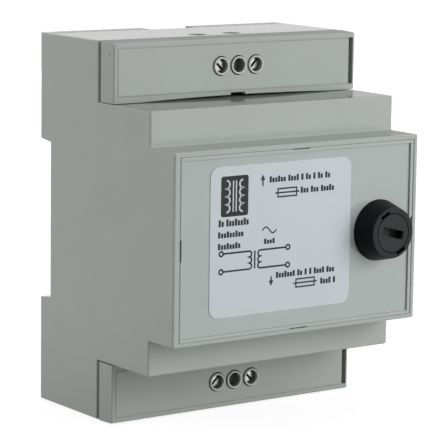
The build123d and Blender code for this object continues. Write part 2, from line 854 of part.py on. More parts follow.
with BuildPart() as fuse_holder:
    face_bore = carrier_face_diameter / 2 + carrier_play
    barrel_bore = carrier_barrel_diameter / 2 + carrier_play
    fuse_bore = fuse_cap_diameter / 2 + fuse_clearance
    carrier_step = -holder_proud + carrier_face_thickness + carrier_play
    with BuildSketch(fuse_plane):
        with BuildLine():
            Polyline(
                (face_bore, -holder_proud),
                (holder_face_diameter / 2, -holder_proud),
                (holder_base_diameter / 2, 0),
                (holder_barrel_diameter / 2, 0),
                (holder_barrel_diameter / 2, holder_barrel_length),
                (holder_tail_diameter / 2, holder_barrel_length),
                (holder_tail_diameter / 2, holder_end),
                (tail_stem_diameter / 2 + stem_play, holder_end),
                (tail_stem_diameter / 2 + stem_play, holder_floor),
                (fuse_bore, holder_floor),
                (fuse_bore, carrier_end + carrier_end_gap),
                (barrel_bore, carrier_end + carrier_end_gap),
                (barrel_bore, carrier_step),
                (face_bore, carrier_step),
                close=True,
            )
        make_face()
    revolve(axis=fuse_axis)
    front_rim = fuse_holder.edges().filter_by(GeomType.CIRCLE).group_by(Axis.Y)[0].sort_by(SortBy.RADIUS)[-1]
    fillet(front_rim, holder_edge_round)
    # Position marks sunk in the front ring, beside the carrier
    with BuildSketch(Plane.XZ.offset(-panel_face_y + holder_proud)):
        with Locations((fuse_x, 0)):
            with PolarLocations(face_bore, 2, start_angle=mark_angle):
                Rectangle(2 * mark_width, mark_length)
    extrude(amount=-mark_depth, mode=Mode.SUBTRACT)
    # Groove and wall slot for the side contact, below the axis
    strip_radius = barrel_bore + strip_play
    with Locations((fuse_x, panel_face_y + side_strip_start - strip_play, 0)):
        Box(
            side_strip_width + 2 * strip_play,
            side_strip_length + 2 * strip_play,
            strip_radius + tag_thickness + strip_play,
            align=(Align.CENTER, Align.MIN, Align.MAX),
            mode=Mode.SUBTRACT,
        )
    strip_end_y = panel_face_y + side_strip_start + side_strip_length
    with Locations((fuse_x, strip_end_y + strip_play, 0)):
        Box(
            side_strip_width + 2 * strip_play,
            tag_thickness + 2 * strip_play,
            holder_barrel_diameter,
            align=(Align.CENTER, Align.MAX, Align.MAX),
            mode=Mode.SUBTRACT,
        )


with BuildPart() as fuse_holder_nut:
    with BuildSketch(Plane.XZ.offset(-panel_rear_y)):
        with Locations((fuse_x, 0)):
            RegularPolygon(nut_flats / 2, 6, major_radius=False, rotation=nut_turn)
            Circle(holder_barrel_diameter / 2 + nut_play, mode=Mode.SUBTRACT)
    extrude(amount=-nut_thickness)


with BuildPart() as fuse_side_contact:
    tag_radius = holder_barrel_diameter / 2 + side_tag_stand_off
    strip_end = side_strip_start + side_strip_length
    with BuildSketch(Plane.YZ.offset(fuse_x)):
        with Locations((panel_face_y, 0)):
            with Locations((side_strip_start, -strip_radius)):
                Rectangle(side_strip_length, tag_thickness, align=(Align.MIN, Align.MAX))
            with Locations((strip_end, -strip_radius)):
                Rectangle(tag_thickness, tag_radius - strip_radius, align=(Align.MAX, Align.MAX))
            with Locations((strip_end - tag_thickness, -tag_radius)):
                Rectangle(side_tag_length, tag_thickness, align=(Align.MIN, Align.MIN))
    extrude(amount=side_strip_width / 2, both=True)


with BuildPart() as fuse_tail_contact:
    disc_start = fuse_end + fuse_seat_gap
    with BuildSketch(Plane.XZ.offset(-(panel_face_y + disc_start))):
        with Locations((fuse_x, 0)):
            Circle(tail_disc_diameter / 2)
    extrude(amount=-tail_disc_thickness)
    with BuildSketch(Plane.XZ.offset(-(panel_face_y + disc_start))):
        with Locations((fuse_x, 0)):
            Circle(tail_stem_diameter / 2)
    extrude(amount=-(holder_end - disc_start + overcut))
    with Locations((fuse_x, panel_face_y + holder_end + stem_play, 0)):
        Box(
            tail_tag_width,
            tail_tag_length,
            tag_thickness,
            align=(Align.CENTER, Align.MIN, Align.CENTER),
        )


with BuildPart() as fuse_carrier:
    socket_radius = fuse_cap_diameter / 2 + fuse_play
    with BuildSketch(fuse_plane):
        with BuildLine():
            Polyline(
                (0, -holder_proud),
                (carrier_face_diameter / 2, -holder_proud),
                (carrier_face_diameter / 2, -holder_proud + carrier_face_thickness),
                (carrier_barrel_diameter / 2, -holder_proud + carrier_face_thickness),
                (carrier_barrel_diameter / 2, carrier_end),
                (socket_radius, carrier_end),
                (socket_radius, socket_start),
                (0, socket_start),
                close=True,
            )
        make_face()
    revolve(axis=fuse_axis)
    with BuildSketch(Plane.XZ.offset(-panel_face_y + holder_proud)):
        with Locations(Location((fuse_x, 0), carrier_slot_angle)):
            Rectangle(carrier_slot_length, carrier_slot_width)
    extrude(amount=-carrier_slot_depth, mode=Mode.SUBTRACT)


with BuildPart() as fuse_glass:
    glass_radius = fuse_cap_diameter / 2 - fuse_cap_wall
    with BuildSketch(Plane.XZ.offset(-(panel_face_y + fuse_start + 2 * fuse_cap_wall))):
        with Locations((fuse_x, 0)):
            Circle(glass_radius)
            Circle(glass_radius - fuse_glass_wall, mode=Mode.SUBTRACT)
    extrude(amount=-(fuse_length - 4 * fuse_cap_wall))


with BuildPart() as fuse_end_caps:
    for cap_end, inward in ((fuse_start, 1), (fuse_end, -1)):
        with BuildSketch(Plane.XZ.offset(-(panel_face_y + cap_end))):
            with Locations((fuse_x, 0)):
                Circle(fuse_cap_diameter / 2)
        extrude(amount=-inward * fuse_cap_length)
        with BuildSketch(Plane.XZ.offset(-(panel_face_y + cap_end + 2 * inward * fuse_cap_wall))):
            with Locations((fuse_x, 0)):
                Circle(glass_radius)
        extrude(amount=-inward * fuse_cap_length, mode=Mode.SUBTRACT)


with BuildPart() as fuse_wire:
    with BuildSketch(Plane.XZ.offset(-(panel_face_y + fuse_start + 2 * fuse_cap_wall))):
        with Locations((fuse_x, 0)):
            Circle(fuse_wire_diameter / 2)
    extrude(amount=-(fuse_length - 4 * fuse_cap_wall))


with BuildPart() as laminated_core:
    window_length = core_width - 2 * core_yoke
    with BuildSketch(Plane.XZ.offset(-core_rear_y)):
        with Locations((core_x, 0)):
            Rectangle(core_width, core_height)
            with GridLocations(1, core_leg + core_window, 1, 2):
                Rectangle(window_length, core_window, mode=Mode.SUBTRACT)
            with GridLocations(core_hole_x, core_hole_z, 2, 2):
                Circle(core_hole / 2, mode=Mode.SUBTRACT)
    extrude(amount=core_stack)


with BuildPart() as core_screws:
    with BuildSketch(Plane.XZ.offset(-core_front_y)):
        with Locations((core_x, 0)):
            with GridLocations(core_hole_x, core_hole_z, 2, 2):
                Circle(core_screw_head / 2)
    extrude(amount=core_screw_head_height)
    with BuildSketch(Plane.XZ.offset(-core_front_y)):
        with Locations((core_x, 0)):
            with GridLocations(core_hole_x, core_hole_z, 2, 2):
                Circle(core_screw_diameter / 2)
    extrude(amount=-(core_stack + core_screw_grip))


bobbin_length = window_length - 2 * bobbin_play
bobbin_start_x = core_x - bobbin_length / 2
tube_bore = (core_leg + 2 * bobbin_play, core_stack + 2 * bobbin_play)
tube_outside = (tube_bore[0] + 2 * bobbin_wall, tube_bore[1] + 2 * bobbin_wall)
flange_size = (
    core_leg + 2 * core_window - 2 * bobbin_play,
    core_stack + 2 * core_window - 2 * bobbin_play,
)
winding_room = bobbin_length - 3 * bobbin_wall
primary_length = winding_room * primary_share
divider_x = bobbin_start_x + bobbin_wall + primary_length
bobbin_plane = Plane(origin=(bobbin_start_x, core_y, 0), x_dir=(0, 0, 1), z_dir=(1, 0, 0))


with BuildPart() as bobbin:
    with BuildSketch(bobbin_plane):
        Rectangle(*tube_outside)
    extrude(amount=bobbin_length)
    for flange_x in (0, divider_x - bobbin_start_x, bobbin_length - bobbin_wall):
        with BuildSketch(bobbin_plane.offset(flange_x)):
            Rectangle(*flange_size)
        extrude(amount=bobbin_wall)
    with BuildSketch(bobbin_plane):
        Rectangle(*tube_bore)
    extrude(amount=bobbin_length, mode=Mode.SUBTRACT)


def winding(start_x, length):
    """Wound coil that fills one chamber of the bobbin."""
    with BuildPart() as coil_body:
        with BuildSketch(bobbin_plane.offset(start_x - bobbin_start_x + winding_play)):
            RectangleRounded(
                flange_size[0] - 2 * winding_drop,
                flange_size[1] - 2 * winding_drop,
                winding_round,
            )
            Rectangle(
                tube_outside[0] + 2 * winding_play,
                tube_outside[1] + 2 * winding_play,
                mode=Mode.SUBTRACT,
            )
        extrude(amount=length - 2 * winding_play)
    return coil_body


primary_winding = winding(bobbin_start_x + bobbin_wall, primary_length)
secondary_winding = winding(divider_x + bobbin_wall, winding_room - primary_length)
winding_half_z = flange_size[0] / 2 - winding_drop
winding_front_y = core_y - flange_size[1] / 2 + winding_drop


with BuildPart() as thermal_cutout:
    with Locations((bobbin_start_x + bobbin_wall + primary_length / 2, winding_front_y - cutout_gap, 0)):
        Box(
            cutout_width,
            cutout_thickness,
            cutout_height,
            align=(Align.CENTER, Align.MAX, Align.CENTER),
        )


def lead(*points):
    """Insulated lead along straight runs joined by round bends."""
    with BuildPart() as wire:
        with BuildLine() as route:
            FilletPolyline(*points, radius=lead_bend)
        with BuildSketch(Plane(route.line @ 0, z_dir=route.line % 0)):
            Circle(lead_diameter / 2)
        sweep(path=route.line)
    return wire


lead_start_z = winding_half_z + lead_gap
lead_end_y = board_rear_y + lead_gap
lead_rise_y = lead_end_y + lead_end_run
lead_front_y = core_front_y - lead_front_drop
lead_pad_z = board_middle_z - lead_pad_drop


with BuildPart() as primary_leads:
    for offset_x in primary_lead_offsets:
        x = core_x + offset_x
        add(
            lead(
                (x, lead_rise_y, lead_start_z),
                (x, lead_rise_y, lead_pad_z),
                (x, lead_end_y, lead_pad_z),
            ).part
        )


with BuildPart() as secondary_leads:
    secondary_lead_x = core_x + secondary_lead_offset
    add(
        lead(
            (secondary_lead_x, lead_rise_y, -lead_start_z),
            (secondary_lead_x, lead_rise_y, -lead_pad_z),
            (secondary_lead_x, lead_end_y, -lead_pad_z),
        ).part
    )
    # From the winding over the core to the fuse's tail, and from its side contact to the board
    fuse_lead_x = core_x + fuse_lead_offset
    fuse_lead_z = (core_hole_z + core_screw_head + lead_diameter) / 2 + fuse_lead_clearance
    tail_tag_y = panel_face_y + holder_end + stem_play + tail_tag_length / 2
    add(
        lead(
            (fuse_lead_x, lead_front_y, lead_start_z),
            (fuse_lead_x, lead_front_y, fuse_lead_z),
            (fuse_x, tail_tag_y, fuse_lead_z),
            (fuse_x, tail_tag_y, tag_thickness / 2 + lead_gap),
        ).part
    )
    side_tag_end_y = panel_face_y + strip_end - tag_thickness + side_tag_length
    side_tag_z = -tag_radius + tag_thickness / 2
    add(
        lead(
            (fuse_x, side_tag_end_y + lead_gap, side_tag_z),
            (fuse_x, lead_rise_y, side_tag_z),
            (fuse_x, lead_rise_y, -lead_pad_z),
            (fuse_x, lead_end_y, -lead_pad_z),
        ).part
    )


pieces = {
    "housing": housing,
    "rear_base": rear_base,
    "din_clip": din_clip,
    "clip_spring": clip_spring,
    "front_panel": front_panel,
    "rating_label": rating_label,
    "upper_terminal_cover": upper_terminal_cover,
    "lower_terminal_cover": lower_terminal_cover,
    "upper_terminal_block": upper_terminal_block,
    "lower_terminal_block": lower_terminal_block,
    "upper_left_screw": upper_left_screw,
    "upper_right_screw": upper_right_screw,
    "lower_left_screw": lower_left_screw,
    "lower_right_screw": lower_right_screw,
    "upper_left_cage": upper_left_cage,
    "upper_right_cage": upper_right_cage,
    "lower_left_cage": lower_left_cage,
    "lower_right_cage": lower_right_cage,
    "upper_contacts": upper_contacts,
    "lower_contacts": lower_contacts,
    "upper_terminal_board": upper_terminal_board,
    "lower_terminal_board": lower_terminal_board,
    "fuse_holder": fuse_holder,
    "fuse_holder_nut": fuse_holder_nut,
    "fuse_side_contact": fuse_side_contact,
    "fuse_tail_contact": fuse_tail_contact,
    "fuse_carrier": fuse_carrier,
    "fuse_glass": fuse_glass,
    "fuse_end_caps": fuse_end_caps,
    "fuse_wire": fuse_wire,
    "laminated_core": laminated_core,
    "core_screws": core_screws,
    "bobbin": bobbin,
    "primary_winding": primary_winding,
    "secondary_winding": secondary_winding,
    "thermal_cutout": thermal_cutout,
    "primary_leads": primary_leads,
    "secondary_leads": secondary_leads,
}

os.makedirs("parts", exist_ok=True)
for name, piece in pieces.items():
    piece.part.label = name
    export_step(piece.part, f"parts/{name}.step")
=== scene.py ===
import json
from math import ceil, cos, hypot, pi, radians, sin, tau

import bmesh
import bpy
from mathutils import Matrix, Vector


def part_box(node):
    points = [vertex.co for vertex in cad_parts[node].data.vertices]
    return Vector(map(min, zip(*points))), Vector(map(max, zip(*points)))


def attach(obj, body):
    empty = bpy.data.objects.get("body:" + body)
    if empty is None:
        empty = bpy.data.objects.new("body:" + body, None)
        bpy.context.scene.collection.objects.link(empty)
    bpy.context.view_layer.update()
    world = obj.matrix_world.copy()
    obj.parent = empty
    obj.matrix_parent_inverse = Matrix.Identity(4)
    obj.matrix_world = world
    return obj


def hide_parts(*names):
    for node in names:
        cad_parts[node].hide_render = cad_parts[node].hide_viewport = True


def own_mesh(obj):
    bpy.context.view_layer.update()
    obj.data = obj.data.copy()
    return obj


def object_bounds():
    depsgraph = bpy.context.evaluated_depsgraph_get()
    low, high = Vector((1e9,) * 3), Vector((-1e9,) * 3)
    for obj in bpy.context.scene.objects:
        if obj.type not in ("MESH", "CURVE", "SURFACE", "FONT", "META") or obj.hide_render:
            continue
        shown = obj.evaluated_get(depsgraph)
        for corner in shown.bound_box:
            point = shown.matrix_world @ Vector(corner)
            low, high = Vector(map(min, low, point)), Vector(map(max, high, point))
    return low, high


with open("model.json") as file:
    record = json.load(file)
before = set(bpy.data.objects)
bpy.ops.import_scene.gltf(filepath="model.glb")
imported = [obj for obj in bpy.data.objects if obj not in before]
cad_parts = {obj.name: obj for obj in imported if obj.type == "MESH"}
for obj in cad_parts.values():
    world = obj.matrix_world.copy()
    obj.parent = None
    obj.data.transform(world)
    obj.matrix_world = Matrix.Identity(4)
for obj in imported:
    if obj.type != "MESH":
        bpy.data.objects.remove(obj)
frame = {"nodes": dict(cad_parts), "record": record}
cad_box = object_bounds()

# Finish, print and light of the rail transformer, in metres


def mm(value):
    """A length in metres from one in millimetres."""
    return value / 1000


# Camera, as the photograph was taken
CAMERA_AIM = Vector((mm(-1.458), mm(-24.058), mm(0.510)))
CAMERA_DISTANCE = mm(582.90)
CAMERA_AZIMUTH = radians(-35.530)
CAMERA_ELEVATION = radians(9.168)
CAMERA_ROLL = radians(0.779)
CAMERA_NEAR = 0.05
CAMERA_FAR = 20.0
# Blender takes these two in millimetres
CAMERA_LENS = 194.19
CAMERA_SENSOR = 36.0

# Light: an even tent that is weaker from above, and three soft boxes that gloss does not mirror
AMBIENT = 0.45
AMBIENT_TOP = 0.20
# A rise is the two upward parts of a unit direction between which one level changes to the next
AMBIENT_TOP_RISE = (0.3, 0.9)
SOFT_BOXES = {
    "key": {"azimuth": radians(32), "elevation": radians(10), "power": 6.9, "size": 0.70},
    "side": {"azimuth": radians(-120), "elevation": radians(16), "power": 2.75, "size": 0.60},
    "back": {"azimuth": radians(160), "elevation": radians(8), "power": 3.0, "size": 0.60},
}
SOFT_BOX_DISTANCE = 0.80

# What gloss mirrors: a tent with a dark band low above the horizon, and a bright sheet on the floor
GLOSS_FRONT = 0.25
GLOSS_BACK = 0.92
GLOSS_BAND = 0.32
GLOSS_BAND_RISE = (0.095, 0.13)
GLOSS_OVERHEAD = 1.4
GLOSS_OVERHEAD_RISE = (0.175, 0.215)
# Front and back change over these reaches: of a unit direction in the tent, in metres on the floor
GLOSS_REACH_TENT = 0.3
GLOSS_REACH_FLOOR = 0.1
SHEET_GLOSS = 1.2
SHEET_AZIMUTH = radians(36)
SHEET_START = 0.03
SHEET_HALF_WIDTH = 0.16
SHEET_FADE = 0.04

# Floor
FLOOR_SIZE = 4.0
FLOOR_DROP = mm(0.1)
FLOOR_GLOW_NEAR = 0.80
FLOOR_GLOW_FAR = 0.90
FLOOR_NEAR = 0.12
FLOOR_FAR = 0.60

# Colours, linear
WHITE = (1, 1, 1)
FLOOR_PALE = (0.40, 0.40, 0.40)
HOUSING_GREY = (0.385, 0.412, 0.388)
COVER_GREY = (0.360, 0.387, 0.364)
PANEL_GREY = (0.373, 0.408, 0.395)
BASE_GREY = (0.345, 0.368, 0.350)
CLIP_GREY = (0.160, 0.170, 0.165)
COLLAR_PALE = (0.500, 0.525, 0.495)
# Painted shade on the terminals' collar walls and in their bores, behind the pale fronts
TERMINAL_PAINTED_SHADE = (0.200, 0.208, 0.190)
LABEL_WHITE = (0.553, 0.592, 0.621)
INK = (0.032, 0.033, 0.037)
BLACK = (0.003, 0.003, 0.004)
WORN_BLACK = (0.031, 0.032, 0.033)
NICKEL = (0.87, 0.88, 0.87)
ZINC = (0.62, 0.62, 0.61)
STEEL = (0.52, 0.52, 0.51)
BRASS = (0.66, 0.52, 0.25)
COPPER_ENAMEL = (0.36, 0.12, 0.045)
TAPE_YELLOW = (0.56, 0.38, 0.05)
LAMINATE_GREEN = (0.020, 0.085, 0.035)
CORE_GREY = (0.060, 0.057, 0.054)
BOBBIN_WHITE = (0.62, 0.60, 0.52)
LEAD_BROWN = (0.050, 0.022, 0.012)
LEAD_WHITE = (0.60, 0.59, 0.56)
GLASS_TINT = (0.95, 0.98, 0.97)

# Dark block on the label, in millimetres from the label's middle
BLOCK_LEFT = -17.4
BLOCK_BOTTOM = 5.9
BLOCK_WIDTH = 7.7
BLOCK_HEIGHT = 9.4
BLOCK_CORNER = 0.6

# Period of Blender's wave texture at a scale of 1
WAVE_PERIOD = pi / 10

# Sockets of Blender's mix node by kind of data: factor, first, second and result
MIX_SOCKETS = {"FLOAT": (0, 2, 3, 0), "RGBA": (0, 6, 7, 2)}


# Material helpers


def new_material(name):
    material = bpy.data.materials.new(name)
    material.use_nodes = True
    tree = material.node_tree
    return material, tree, tree.nodes["Principled BSDF"]


def add(tree, kind, settings=None, **inputs):
    """A node with its settings, and the values of its sockets by name."""
    node = tree.nodes.new(kind)
    for key, value in (settings or {}).items():
        setattr(node, key, value)
    for key, value in inputs.items():
        node.inputs[key].default_value = value
    return node


def feed(tree, socket, value):
    """Gives a socket a number, or links another socket to it."""
    if isinstance(value, (int, float)):
        socket.default_value = value
    else:
        tree.links.new(value, socket)


def place(tree, offset=(0, 0, 0), stretch=(1, 1, 1)):
    """Coordinates of the piece's own frame, in metres, stretched and moved."""
    coordinates = add(tree, "ShaderNodeTexCoord")
    mapping = add(tree, "ShaderNodeMapping", Location=offset, Scale=stretch)
    tree.links.new(coordinates.outputs["Object"], mapping.inputs["Vector"])
    return mapping.outputs["Vector"]


def noise(tree, where, size, detail=2.0, roughness=0.5):
    """Noise with features of about that size."""
    node = add(tree, "ShaderNodeTexNoise", Scale=1 / size, Detail=detail, Roughness=roughness)
    tree.links.new(where, node.inputs["Vector"])
    return node.outputs["Fac"]


def wave(tree, where, pitch, settings, distortion=0.0):
    """A wave with one light and one dark band in each pitch."""
    node = add(tree, "ShaderNodeTexWave", settings, Scale=WAVE_PERIOD / pitch, Distortion=distortion)
    tree.links.new(where, node.inputs["Vector"])
    return node.outputs["Fac"]


def bands(tree, where, axis, pitch, distortion=0.0):
    """Straight bands across an axis."""
    return wave(tree, where, pitch, {"wave_type": "BANDS", "bands_direction": axis}, distortion)


def rings(tree, where, pitch):
    """Turned rings about the Y axis of the coordinates."""
    return wave(tree, where, pitch, {"wave_type": "RINGS", "rings_direction": "Y"})


def spread(tree, source, low, high):
    """A 0 to 1 value moved to the range from low to high."""
    node = add(tree, "ShaderNodeMapRange")
    node.inputs["To Min"].default_value = low
    node.inputs["To Max"].default_value = high
    tree.links.new(source, node.inputs["Value"])
    return node.outputs["Result"]


def ramp(tree, source, start, end):
    """0 up to the start and 1 from the end on, with a smooth rise between them."""
    node = add(tree, "ShaderNodeMapRange", {"interpolation_type": "SMOOTHSTEP"})
    node.inputs["From Min"].default_value = start
    node.inputs["From Max"].default_value = end
    tree.links.new(source, node.inputs["Value"])
    return node.outputs["Result"]


def shaded(colour, share):
    """The colour with its light times a share."""
    return [channel * share for channel in colour]


def tint(tree, source, colour, amount):
    """The colour, darker by that share where the source is 0 and lighter by it where it is 1."""
    node = add(tree, "ShaderNodeValToRGB")
    for element, sign in zip(node.color_ramp.elements, (-1, 1)):
        element.color = (*shaded(colour, 1 + sign * amount), 1)
    tree.links.new(source, node.inputs["Fac"])
    return node.outputs["Color"]


def split(tree, where, axis):
    """One coordinate by itself."""
    node = add(tree, "ShaderNodeSeparateXYZ")
    tree.links.new(where, node.inputs["Vector"])
    return node.outputs[axis]


def calculated(tree, operation, *terms):
    """The result of a sum or the like, where each term is a number or a socket."""
    node = add(tree, "ShaderNodeMath", {"operation": operation})
    for socket, term in zip(node.inputs, terms):
        feed(tree, socket, term)
    return node.outputs["Value"]


def length(tree, where):
    """Distance from the middle of the coordinates."""
    node = add(tree, "ShaderNodeVectorMath", {"operation": "LENGTH"})
    tree.links.new(where, node.inputs[0])
    return node.outputs["Value"]


def along(tree, where, way):
    """Distance along a direction."""
    node = add(tree, "ShaderNodeVectorMath", {"operation": "DOT_PRODUCT"})
    tree.links.new(where, node.inputs[0])
    node.inputs[1].default_value = way
    return node.outputs["Value"]


def mix(tree, kind, factor, first, second):
    """The first where the factor is 0 and the second where it is 1."""
    node = add(tree, "ShaderNodeMix", {"data_type": kind})
    *sockets, result = MIX_SOCKETS[kind]
    for socket, value in zip(sockets, (factor, first, second)):
        feed(tree, node.inputs[socket], value)
    return node.outputs[result]


def blend(tree, factor, first, second):
    """A colour between two others."""
    return mix(tree, "RGBA", factor, first, second)


def mixed(tree, factor, first, second):
    """A value between two others, each a number or a socket."""
    return mix(tree, "FLOAT", factor, first, second)


def coat(tree, shader, tone, uneven, smooth, rough):
    """Gives the shader a tone, and a roughness from smooth to rough as the uneven value rises."""
    tree.links.new(tone, shader.inputs["Base Color"])
    tree.links.new(spread(tree, uneven, smooth, rough), shader.inputs["Roughness"])


def bump(tree, shader, height, depth):
    node = add(tree, "ShaderNodeBump", Strength=1.0, Distance=depth)
    tree.links.new(height, node.inputs["Height"])
    tree.links.new(node.outputs["Normal"], shader.inputs["Normal"])


# Materials


def moulded(name, colour, roughness, depth=mm(0.0015), specular=0.5, gate=None, shaded_seam=None):
    """Smooth moulded plastic with faint flow marks.

    A gate is the place of the small scar that the mould's gate has left. A shaded seam is the X of a left
    edge, just inside which a dark line of painted shade and dust lies.
    """
    flow_size, flow_contrast, play = mm(14), 0.05, 0.03
    grain_size, dirt_and_shade_contrast = mm(0.30), 0.10
    gate_shade, gate_start, gate_end = 0.45, mm(0.15), mm(0.50)
    seam_shade, seam_start, seam_end = 0.42, mm(0.16), mm(0.36)
    material, tree, shader = new_material(name)
    where = place(tree)
    flow = noise(tree, where, flow_size, detail=4, roughness=0.55)
    grain = noise(tree, where, grain_size)
    tone = tint(tree, flow, colour, flow_contrast)
    if gate is not None:
        clear = ramp(tree, length(tree, place(tree, offset=-gate)), gate_start, gate_end)
        tone = blend(tree, clear, tint(tree, grain, shaded(colour, gate_shade), dirt_and_shade_contrast), tone)
    # Painted shade and dust: a dark line just inside the shaded seam's X, along the joint at that edge
    if shaded_seam is not None:
        inward = calculated(tree, "SUBTRACT", split(tree, where, "X"), shaded_seam)
        clear = ramp(tree, inward, seam_start, seam_end)
        tone = blend(tree, clear, tint(tree, grain, shaded(colour, seam_shade), dirt_and_shade_contrast), tone)
    coat(tree, shader, tone, flow, roughness - play, roughness + play)
    shader.inputs["Specular IOR Level"].default_value = specular
    bump(tree, shader, grain, depth)
    return material


def faced(name, front_colour, body_and_shade_colour, front, fade, roughness, specular=0.5, joint=None, shaded_slot=None):
    """Moulding with a front face of one tone, and a darker tone that begins just behind the front.
    The darker tone is painted shade in bores, slots and pockets, and on the fuse holder also the black of
    its body.

    A shaded joint is the middle and radius of a round gap in the front, along which a dark line of shade is
    painted. A shaded slot gives the two places along X between which a slot in the front changes from the
    face's tone to painted shade.
    """
    flow_size, front_contrast, body_and_shade_contrast, play = mm(2.0), 0.06, 0.18, 0.06
    grain_size, grain_depth = mm(0.16), mm(0.005)
    joint_shade_start, joint_shade_end = mm(0.08), mm(0.22)
    material, tree, shader = new_material(name)
    where = place(tree)
    depth = calculated(tree, "SUBTRACT", split(tree, where, "Y"), front)
    # Painted shade in the slot: the face's tone at its left end, the darker tone deeper in towards its right
    # end
    if shaded_slot is not None:
        depth = calculated(tree, "MULTIPLY", depth, ramp(tree, split(tree, where, "X"), *shaded_slot))
    # Painted shade: the tone darkens from half the fade behind the front and is fully dark from the fade on
    behind = ramp(tree, depth, fade / 2, fade)
    flow = noise(tree, where, flow_size, detail=3)
    body_and_shade_tone = tint(tree, flow, body_and_shade_colour, body_and_shade_contrast)
    tone = blend(tree, behind, tint(tree, flow, front_colour, front_contrast), body_and_shade_tone)
    # Painted shade: a dark line along the round gap of the joint
    if joint is not None:
        middle, radius = joint
        out = length(tree, place(tree, offset=(-middle.x, 0, -middle.z), stretch=(1, 0, 1)))
        gap = calculated(tree, "ABSOLUTE", calculated(tree, "SUBTRACT", out, radius))
        tone = blend(tree, ramp(tree, gap, joint_shade_start, joint_shade_end), body_and_shade_tone, tone)
    coat(tree, shader, tone, flow, roughness - play, roughness + play)
    shader.inputs["Specular IOR Level"].default_value = specular
    bump(tree, shader, noise(tree, where, grain_size, detail=3), grain_depth)
    return material


def metal(name, colour, roughness, stretch=(1, 1, 1)):
    """Plated or drawn metal, with streaks across the axis that is stretched most."""
    streak_size, streak_contrast, streak_depth = mm(0.15), 0.10, mm(0.004)
    smoother, rougher = 0.07, 0.10
    material, tree, shader = new_material(name)
    streaks = noise(tree, place(tree, stretch=stretch), streak_size, detail=4)
    tone = tint(tree, streaks, colour, streak_contrast)
    coat(tree, shader, tone, streaks, roughness - smoother, roughness + rougher)
    shader.inputs["Metallic"].default_value = 1.0
    bump(tree, shader, streaks, streak_depth)
    return material


def turned_metal(name, colour, roughness, centre, front):
    """Plated screw metal with turned rings about the screw's own axis, and its slot behind the front painted
    dark, as painted shade and dull metal.
    """
    ring_pitch, ring_depth = mm(0.18), mm(0.004)
    dust_size, dust_contrast = mm(0.3), 0.08
    slot_shade, slot_contrast, slot_start, slot_end = 0.12, 0.15, mm(0.12), mm(0.35)
    smoother, rougher = 0.06, 0.10
    material, tree, shader = new_material(name)
    where = place(tree, offset=-centre)
    dust = noise(tree, where, dust_size, detail=3)
    face = front - centre.y
    # Painted shade with dull metal: the slot behind the head's front is darkened
    behind = ramp(tree, split(tree, where, "Y"), face + slot_start, face + slot_end)
    dull_and_shaded = tint(tree, dust, shaded(colour, slot_shade), slot_contrast)
    tone = blend(tree, behind, tint(tree, dust, colour, dust_contrast), dull_and_shaded)
    coat(tree, shader, tone, dust, roughness - smoother, roughness + rougher)
    shader.inputs["Metallic"].default_value = 1.0
    bump(tree, shader, rings(tree, where, ring_pitch), ring_depth)
    return material


def film(name, colour):
    """Smooth printed label film with a faint orange-peel face."""
    cloud_size, cloud_contrast = mm(18), 0.025
    peel_size, peel_depth = mm(0.6), mm(0.004)
    material, tree, shader = new_material(name)
    where = place(tree)
    peel = noise(tree, where, peel_size)
    tone = tint(tree, noise(tree, where, cloud_size), colour, cloud_contrast)
    coat(tree, shader, tone, peel, smooth=0.30, rough=0.40)
    shader.inputs["Specular IOR Level"].default_value = 0.25
    bump(tree, shader, peel, peel_depth)
    return material


def ink(name, colour):
    """Printed ink that is a little uneven."""
    blot_size, blot_contrast, speck_size = mm(0.4), 0.30, mm(0.2)
    material, tree, shader = new_material(name)
    where = place(tree)
    tone = tint(tree, noise(tree, where, blot_size, detail=3), colour, blot_contrast)
    coat(tree, shader, tone, noise(tree, where, speck_size), smooth=0.40, rough=0.55)
    shader.inputs["Specular IOR Level"].default_value = 0.2
    return material


def laminate(name, colour):
    """Coated board with the weave of its glass cloth showing through."""
    thread, weave_contrast, weave_depth = mm(0.5), 0.15, mm(0.01)
    material, tree, shader = new_material(name)
    where = place(tree)
    weave = calculated(tree, "MULTIPLY", bands(tree, where, "X", thread), bands(tree, where, "Z", thread))
    tree.links.new(tint(tree, weave, colour, weave_contrast), shader.inputs["Base Color"])
    shader.inputs["Roughness"].default_value = 0.30
    bump(tree, shader, weave, weave_depth)
    return material


def stacked(name, colour, axis, pitch, roughness, metallic=0.0, depth=mm(0.05), contrast=0.35):
    """Thin layers or turns side by side along an axis, with a groove between each pair."""
    speck_size, play = mm(0.5), 0.08
    material, tree, shader = new_material(name)
    where = place(tree)
    layers = bands(tree, where, axis, pitch, distortion=0.3)
    tone = tint(tree, layers, colour, contrast)
    coat(tree, shader, tone, noise(tree, where, speck_size), roughness - play, roughness + play)
    shader.inputs["Metallic"].default_value = metallic
    bump(tree, shader, layers, depth)
    return material


def glass(name, colour):
    """Clear tube glass with faint draw lines."""
    line_width, line_depth, line_stretch = mm(0.4), mm(0.004), (1, 0.05, 1)
    material, tree, shader = new_material(name)
    draw = noise(tree, place(tree, stretch=line_stretch), line_width)
    shader.inputs["Base Color"].default_value = (*colour, 1)
    shader.inputs["Transmission Weight"].default_value = 1.0
    shader.inputs["IOR"].default_value = 1.5
    tree.links.new(spread(tree, draw, low=0.01, high=0.05), shader.inputs["Roughness"])
    bump(tree, shader, draw, line_depth)
    return material


# Places that the materials need


def front_of(node):
    """Y of a node's front."""
    low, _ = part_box(node)
    return low.y


def left_of(node):
    """X of a node's left edge."""
    low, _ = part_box(node)
    return low.x


def box_centre(node):
    low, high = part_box(node)
    return (low + high) / 2


def cover_gate():
    """Middle of the gate scar on the left flank of the upper terminal cover."""
    inset_y, inset_z = mm(1.9), mm(2.9)
    low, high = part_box("upper_terminal_cover")
    return Vector((low.x, low.y + inset_y, high.z - inset_z))


